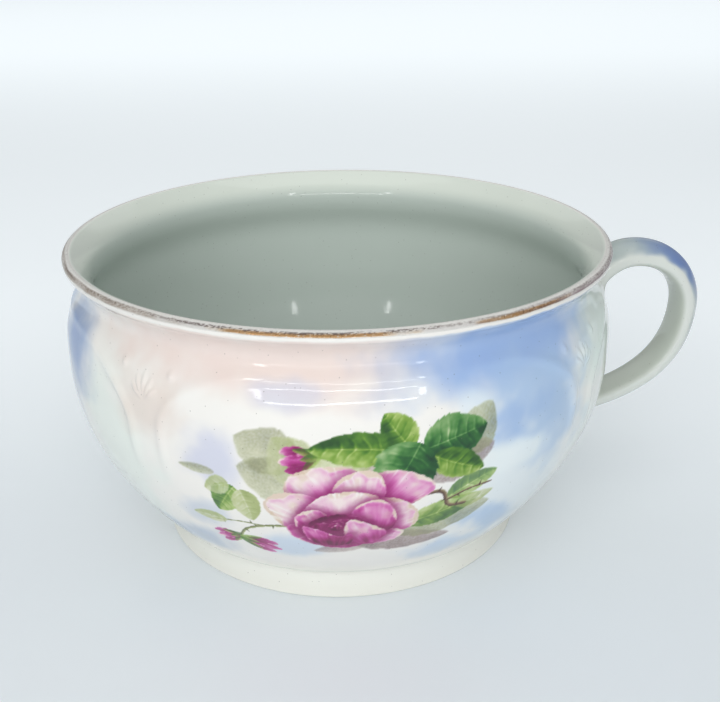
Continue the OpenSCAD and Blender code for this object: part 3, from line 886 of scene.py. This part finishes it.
def rim():
    """The flared neck and the rolled lip."""
    lip = arc(LIP_C, LIP_R, LIP_FROM, LIP_TO, LIP_STEP)
    outside = flare([NECK_R, NECK_Z], lip[0])
    inside = flare([NECK_R - WALL, NECK_Z], lip[-1])[::-1]
    profile = np.vstack([outside, lip, inside])
    points, faces, az = lathe(profile, COLUMNS)
    normals = lathe_normals(profile, COLUMNS, {0: (1, 0), -1: (-1, 0)})
    angle = LIP_FROM + LIP_STEP * (np.repeat(np.arange(len(profile)), COLUMNS) - len(outside))
    z = points[:, 2]
    ragged = 0.5 * round_clouds(az, z, 9, 31)
    below = smoothstep(AIRBRUSH_TOP, AIRBRUSH_TOP - AIRBRUSH_FADE, z + ragged) * (angle < AIRBRUSH_STOP)
    paint = mix(plain(WHITE, points), airbrush(az, z), below)
    # Painted light: the inside is painted paler up the flare to the lip, where the flare faces up into the
    # light
    deep = mix(unit(LIT_INSIDE_LIP), unit(INSIDE), smoothstep(NECK_Z + INSIDE_FADE, NECK_Z, z))
    paint = mix(paint, deep, smoothstep(INSIDE_FROM, INSIDE_FULL, angle))
    make_piece("rim_and_lip", points, faces, normals, paint, 0, glaze, "body_glaze", "rim_lip",
               calm=angle > CALM_FROM)


GOLD, FILM, PLUM, BROWN = (200, 154, 102), (214, 212, 210), (122, 100, 106), (150, 134, 118)
BURNT, WORN = (78, 66, 62), (240, 240, 236)
# Middle and half of each stretch in degrees: gold left, plum and brown wear, and the most burnt specks
KEPT_GOLD = ((-103, 17), (-63, 10), (-5, 8), (40, 18), (104, 26), (150, 10))
PLUM_WEAR, BROWN_WEAR, BURNT_WEAR, BURNT_LEAST = (-20, 52), (-165, 44), (-106, 34), 0.45
GILT_OVER, GILT_SUNK = 0.12, 0.10


def gilt():
    """The gilding, worn down to specks, with more of it left in some places than in others."""
    outer = arc(LIP_C, LIP_R + GILT_OVER, GILT_FROM, GILT_TO, GILT_STEP)
    inner = arc(LIP_C, LIP_R - GILT_SUNK, GILT_FROM, GILT_TO, GILT_STEP)
    profile = np.vstack([outer, inner[::-1]])
    points, faces, az = lathe(profile, GILT_COLUMNS)
    normals = lathe_normals(profile, GILT_COLUMNS, {})
    rows = len(profile) // 2
    across = np.repeat(np.concatenate([np.arange(rows), np.arange(rows)[::-1]]), GILT_COLUMNS) / (rows - 1)
    run = np.radians(az) * RIM_R
    streak = round_clouds(az, across * 8, 14, 44)
    speck = noise(run / 1.3, across * 6 + 3, 47) + 0.8 * noise(run / 0.5, across * 11 + 3, 48)
    inside = smoothstep(0.04, 0.16, across + 0.06 * streak) * smoothstep(0.74, 0.54, across + 0.10 * streak)

    def stretch(about, half):
        """Most at an angle, and nothing from about half degrees away."""
        return smoothstep(1.15, 0.55, np.abs(turned(az, about)) / half + 0.3 * streak)

    kept = np.maximum.reduce([stretch(*place) for place in KEPT_GOLD])
    leaf_gold = kept * smoothstep(-0.7, 0.2, speck + 0.5) * smoothstep(0.56, 0.34, across)
    dark = np.maximum(stretch(*BURNT_WEAR), BURNT_LEAST)
    burnt = dark * smoothstep(0.0, 0.6, 0.6 * speck + 0.5 * streak + 0.2) * smoothstep(0.24, 0.44, across)
    edge = np.exp(-(((across - 0.16) / 0.09) ** 2))
    plum = stretch(*PLUM_WEAR) * np.clip(0.35 + 0.25 * speck + 0.3 * streak + 0.6 * edge, 0, 1)
    brown = stretch(*BROWN_WEAR) * np.clip(0.6 + 0.35 * speck + 0.3 * streak, 0, 1)
    paint = plain(WORN, points)
    layers = ((FILM, 0.7), (GOLD, 0.95 * leaf_gold), (BROWN, 0.8 * brown),
              (PLUM, 0.8 * plum), (BURNT, 0.85 * burnt))
    for colour, amount in layers:
        paint = mix(paint, unit(colour), inside * amount)
    metal = inside * leaf_gold * (1 - burnt)
    make_piece("gilt_band", points, faces, normals, paint, metal, gold, "gilt", "gilt_line")


CLAY, STAINED = (150, 132, 104), 0.25


def foot():
    """The flared ring that the pot stands on."""
    z = spaced(TOE_H, FOOT_H, FOOT_ROW)
    scoop = np.stack([WAIST_R + (FOOT_R - WAIST_R) * ((FOOT_H - z) / (FOOT_H - TOE_H)) ** 2, z], 1)
    toe = arc(np.array([FOOT_R - TOE_H, TOE_H]), TOE_H, -90, 0, TOE_STEP)
    heel, back = (FOOT_R - TOE_H - STAND_W, 0), (WAIST_R - FOOT_T, FOOT_H)
    profile = np.vstack([heel, toe[:-1], scoop, back])
    points, faces, az = lathe(profile, FOOT_COLUMNS)
    last = len(profile) - 1
    normals = lathe_normals(profile, FOOT_COLUMNS, {last - 1: (1, 0), 0: (0, -1), 1: (0, -1)})
    row = np.repeat(np.arange(len(profile)), FOOT_COLUMNS)
    bare = smoothstep(2.5, 0.5, row) + smoothstep(last - 0.5, last, row) * 0.4
    grime = 0.5 + 0.5 * round_clouds(az, points[:, 2] * 2, 8, 51)
    paint = mix(plain(CREAM_GLAZE, points), unit(CLAY), STAINED * bare * grime)
    make_piece("foot", points, faces, normals, paint, bare, glaze, "foot_glaze", "foot_ring")


# Handle: a strap, flat inside and crowned outside, swept along its line and flared where it is luted on

HANDLE_PALE, HANDLE_INNER_SHADE, HANDLE_GREY = (226, 230, 224), (202, 208, 198), (178, 190, 189)
HANDLE_BLUE = (108, 134, 190)
SECTION, END_ROWS, MIDDLE_ROWS = 56, 22, 130
EDGE_ROUND, PILLOW = 0.5, 1.2
HEM, HEM_UNDER, HEM_L = 1.8, 4.5, 6.0
STRAP_ENDS = ((STRAP_W_TOP, STRAP_W_LOW), (STRAP_T_TOP, STRAP_T_LOW), (CROWN_TOP, CROWN_LOW))
SUNK, WITHIN, CLEAR = 0.6, 20.0, 30.0


def handle_line():
    """Closely spaced points of the strap's centre line in the XZ plane, with the run along it."""
    top, low = (np.array([outer_r(np.array(z)), z], float) for z in (ROOT_TOP_Z, ROOT_LOW_Z))
    rise_w, fall_w = CREST[0] - top[0], REACH[0] - low[0]
    over, down = REACH[0] - CREST[0], CREST[1] - REACH[1]
    rise = [top, top + RISE_LEAD * rise_w * heading(RISE_ANGLE), CREST - [CREST_LEAD * rise_w, 0], CREST]
    bend = [CREST, CREST + [BEND_LEAD * over, 0], REACH + [0, BEND_LEAD * down], REACH]
    drop = REACH - [0, DROP_LEAD * (REACH[1] - low[1])]
    fall = [REACH, drop, low + FALL_LEAD * fall_w * heading(FALL_ANGLE), low]
    t = np.linspace(0, 1, 200, endpoint=False)
    line = np.vstack([bezier(c, t) for c in (rise, bend, fall)] + [low])
    return line, run_along(*line.T)


def strap_section():
    """Shares of the half width and half thickness, at points spaced evenly round the strap's section."""

    def full(v):
        return np.sign(v) * np.abs(v) ** EDGE_ROUND

    angle = np.linspace(0, 2 * math.pi, 4001)
    across, up = full(np.cos(angle)), full(np.sin(angle))
    y = up * STRAP_T_TOP / 2 + CROWN_TOP * (up > 0) * (1 - across**2)
    run = run_along(across * STRAP_W_TOP / 2, y)
    angle = np.interp(np.arange(SECTION) / SECTION * run[-1], run, angle)
    return full(np.cos(angle)), full(np.sin(angle))


def handle():
    """The strap and its slip joints, as one skin."""
    line, run = handle_line()
    length = run[-1]
    tangent = np.gradient(line, run, axis=0)
    tangent /= np.linalg.norm(tangent, axis=1)[:, None]
    across, up = strap_section()

    def spread(s):
        """How far the slip joint has spread at a distance from the end of the strap."""
        return np.clip(1 - s / JOINT_L, 0, 1) ** 2

    def clearance(p):
        return np.hypot(p[:, 0], p[:, 1]) - outer_r(p[:, 2])

    def strap_point(s):
        """Points round the strap, one at each section angle, at the run s of each."""
        inside = np.clip(s, 0, length)
        c, d = (np.stack([np.interp(inside, run, v) for v in p.T], 1) for p in (line, tangent))
        c = c + d * (s - inside)[:, None]
        w, t, crown = (a + (b - a) * inside / length for a, b in STRAP_ENDS)
        crown = np.where(up > 0, crown, -PILLOW) * (1 - across**2)

        def out(extra):
            x, y = across * (w / 2 + extra), up * (t / 2 + extra) + crown
            return np.stack([c[:, 0] - d[:, 1] * y, x, c[:, 1] + d[:, 0] * y], 1)

        lute = JOINT_FLARE / 2 * (spread(s) + spread(length - s))
        hem = HEM + HEM_UNDER * np.clip(-up, 0, 1) * (s < length / 2)
        return out(lute + hem * np.clip(1 - clearance(out(lute)) / HEM_L, 0, 1) ** 2)

    def meets(within, clear):
        """Run at which each line along the strap meets the bowl, between runs within and clear of it."""
        low, high = np.full(SECTION, within), np.full(SECTION, clear)
        for _ in range(40):
            mid = (low + high) / 2
            free = clearance(strap_point(mid)) > -SUNK
            low, high = np.where(free, low, mid), np.where(free, mid, high)
        return (low + high) / 2

    start, stop = meets(-WITHIN, CLEAR), meets(length + WITHIN, length - CLEAR)
    ends = 1.5 * JOINT_L * np.linspace(0, 1, END_ROWS) ** 1.4
    rows = [strap_point(start + d) for d in ends]
    for t in np.linspace(0, 1, MIDDLE_ROWS)[1:-1]:
        rows.append(strap_point((start + ends[-1]) * (1 - t) + (stop - ends[-1]) * t))
    rows += [strap_point(stop - d) for d in ends[::-1]]
    rings = ring_numbers(len(rows), SECTION)
    faces = skin(rings) + [list(rings[0][::-1]), list(rings[-1])]
    grid = np.array(rows)
    along = np.gradient(grid, axis=0)
    around = np.roll(grid, -1, 1) - np.roll(grid, 1, 1)
    normals = np.cross(around, along).reshape(-1, 3)
    points = grid.reshape(-1, 3)
    share = np.repeat(np.linspace(0, 1, len(rows)), SECTION)
    face = np.tile(up, len(rows))
    mottle = 0.25 * clouds(points[:, 0] / 18, (points[:, 1] + points[:, 2]) / 18, 61, 3)
    # Painted shade: the inner face of the strap is painted darker and greener, where the bowl shades it
    paint = mix(plain(HANDLE_PALE, points), unit(HANDLE_INNER_SHADE), smoothstep(-0.3, -0.95, face))
    outer = smoothstep(0.55, 0.98, face + mottle)
    paint = mix(paint, unit(HANDLE_GREY), 0.9 * outer * smoothstep(0.56, 0.44, share))
    blue = smoothstep(0.13, 0.29, share + 0.1 * mottle) * smoothstep(0.43, 0.30, share)
    paint = mix(paint, unit(HANDLE_BLUE), 0.92 * blue * outer)
    make_piece("handle", points, faces, normals, paint, 0, glaze, "handle_glaze",
               "handle_strap", "upper_slip_joint", "lower_slip_joint")


# Stage, lights and camera, in a frame turned so that the camera looks along Y: metres, but for CAMERA_AT

HANDLE_TURN = 9.0
FLOOR_SIZE = 6.0
NEAR_TONE, FAR_TONE, FIBRE_TONE = (0.82, 0.865, 0.90, 1), (0.92, 0.96, 0.985, 1), (0.8, 0.84, 0.88, 1)
GLOW, FAR_GLOW, GLOW_TONE = 0.21, 0.19, (0.89, 0.96, 1.0, 1)
BEHIND, FAR = (-0.15, 0.3), (0.6, 1.8)
CAMERA_AT = (9.0, -413.7, 254.2)
PITCH, ROLL, LENS, NEAREST = 23.47, -0.35, 50.0, 0.01
TENT_TONE, TENT_GLOW = (0.96, 0.99, 1.0, 1), 0.40
LIT_Z = 0.07
# Each lamp's azimuth, elevation, distance, width, height and power, and whether the glaze mirrors it
LAMPS = {
    "top_sheet": (-80, 80, 1.2, 1.2, 1.0, 2.5, True),
    "soft_front": (-96, 26, 2.2, 2.4, 1.2, 26, False),
    "left_lamp": (-118, 24, 0.55, 0.024, 0.10, 0.05, True),
    "right_lamp": (-62, 24, 0.55, 0.024, 0.10, 0.05, True),
    "strip": (-90, 18, 0.55, 0.5, 0.016, 0.24, True),
    "back_wash": (90, 34, 3.0, 5.0, 2.4, 15, True),
}


def floor():
    """A flat sheet of pale paper, painted darker in front of the pot and paler behind it, and glowing behind
    the pot and more so far off: painted shade and painted light.
    """
    mesh = bpy.data.meshes.new("floor")
    corners = [(x * FLOOR_SIZE, y * FLOOR_SIZE, 0) for x, y in ((-1, -1), (1, -1), (1, 1), (-1, 1))]
    mesh.from_pydata(corners, [], [(0, 1, 2, 3)])
    sheet = add_object("floor", mesh)
    n = Nodes("paper")
    away = n.add("VectorMath")
    away.operation = "DOT_PRODUCT"
    c, s = heading(HANDLE_TURN)
    n.feed(away.inputs[0], n.place)
    n.feed(away.inputs[1], (s, c, 0))

    def rise(start, stop):
        node = n.add("MapRange", Value=away.outputs["Value"], From_Min=start, From_Max=stop)
        node.interpolation_type = "SMOOTHSTEP"
        return node.outputs["Result"]

    # Painted shade in front of the pot and painted light behind it: the paper's tone and its glow rise away
    # from the camera
    behind, far = rise(*BEHIND), rise(*FAR)
    tone = n.blend("MIX", behind, NEAR_TONE, FAR_TONE)
    fibre = n.math("MULTIPLY", n.noise(14.0, 6.0), 0.05)
    n.fill(
        n.shader,
        Base_Color=n.blend("MULTIPLY", fibre, tone, FIBRE_TONE),
        Roughness=0.7,
        Emission_Color=GLOW_TONE,
        Emission_Strength=n.math("MULTIPLY_ADD", far, FAR_GLOW, n.math("MULTIPLY", behind, GLOW)),
    )
    mesh.materials.append(n.material)


def camera():
    """The camera, as it was fitted to the photograph."""
    data = bpy.data.cameras.new("camera")
    data.lens, data.clip_start = LENS, NEAREST
    cam = add_object("camera", data)
    turn = Matrix.Rotation(math.radians(-HANDLE_TURN), 4, "Z")
    tilt = Matrix.Rotation(math.radians(90 - PITCH), 4, "X") @ Matrix.Rotation(math.radians(ROLL), 4, "Z")
    cam.matrix_world = turn @ Matrix.Translation(Vector(CAMERA_AT) * MM) @ tilt
    bpy.context.scene.camera = cam


def toward(name, azimuth, elevation, distance, size_x, size_y, power, sheen):
    """A rectangular soft lamp that faces the pot."""
    data = bpy.data.lights.new(name, "AREA")
    data.shape = "RECTANGLE"
    data.size, data.size_y, data.energy = size_x, size_y, power
    lamp = add_object(name, data)
    (x, y), (level, up) = heading(azimuth - HANDLE_TURN), heading(elevation)
    direction = Vector((x * level, y * level, up))
    lamp.location = Vector((0, 0, LIT_Z)) + direction * distance
    lamp.visible_camera = False
    lamp.visible_glossy = sheen
    lamp.rotation_mode = "QUATERNION"
    lamp.rotation_quaternion = (-direction).to_track_quat("-Z", "Y")


def lights():
    """A light tent: dim all round, soft above, in front and behind, and small lamps for highlights."""
    world = bpy.data.worlds.new("tent")
    world.use_nodes = True
    background = world.node_tree.nodes["Background"]
    background.inputs["Color"].default_value = TENT_TONE
    background.inputs["Strength"].default_value = TENT_GLOW
    bpy.context.scene.world = world
    for name, lamp in LAMPS.items():
        toward(name, *lamp)
    wash = bpy.data.objects["back_wash"]
    wash.rotation_quaternion = Vector((0, 0, -1)).to_track_quat("-Z", "Y")


bpy.context.scene.view_settings.view_transform = "Standard"
glaze = painted_glaze()
gold = worn_gilding()
camera()
lights()
floor()
bowl()
rim()
gilt()
foot()
handle()
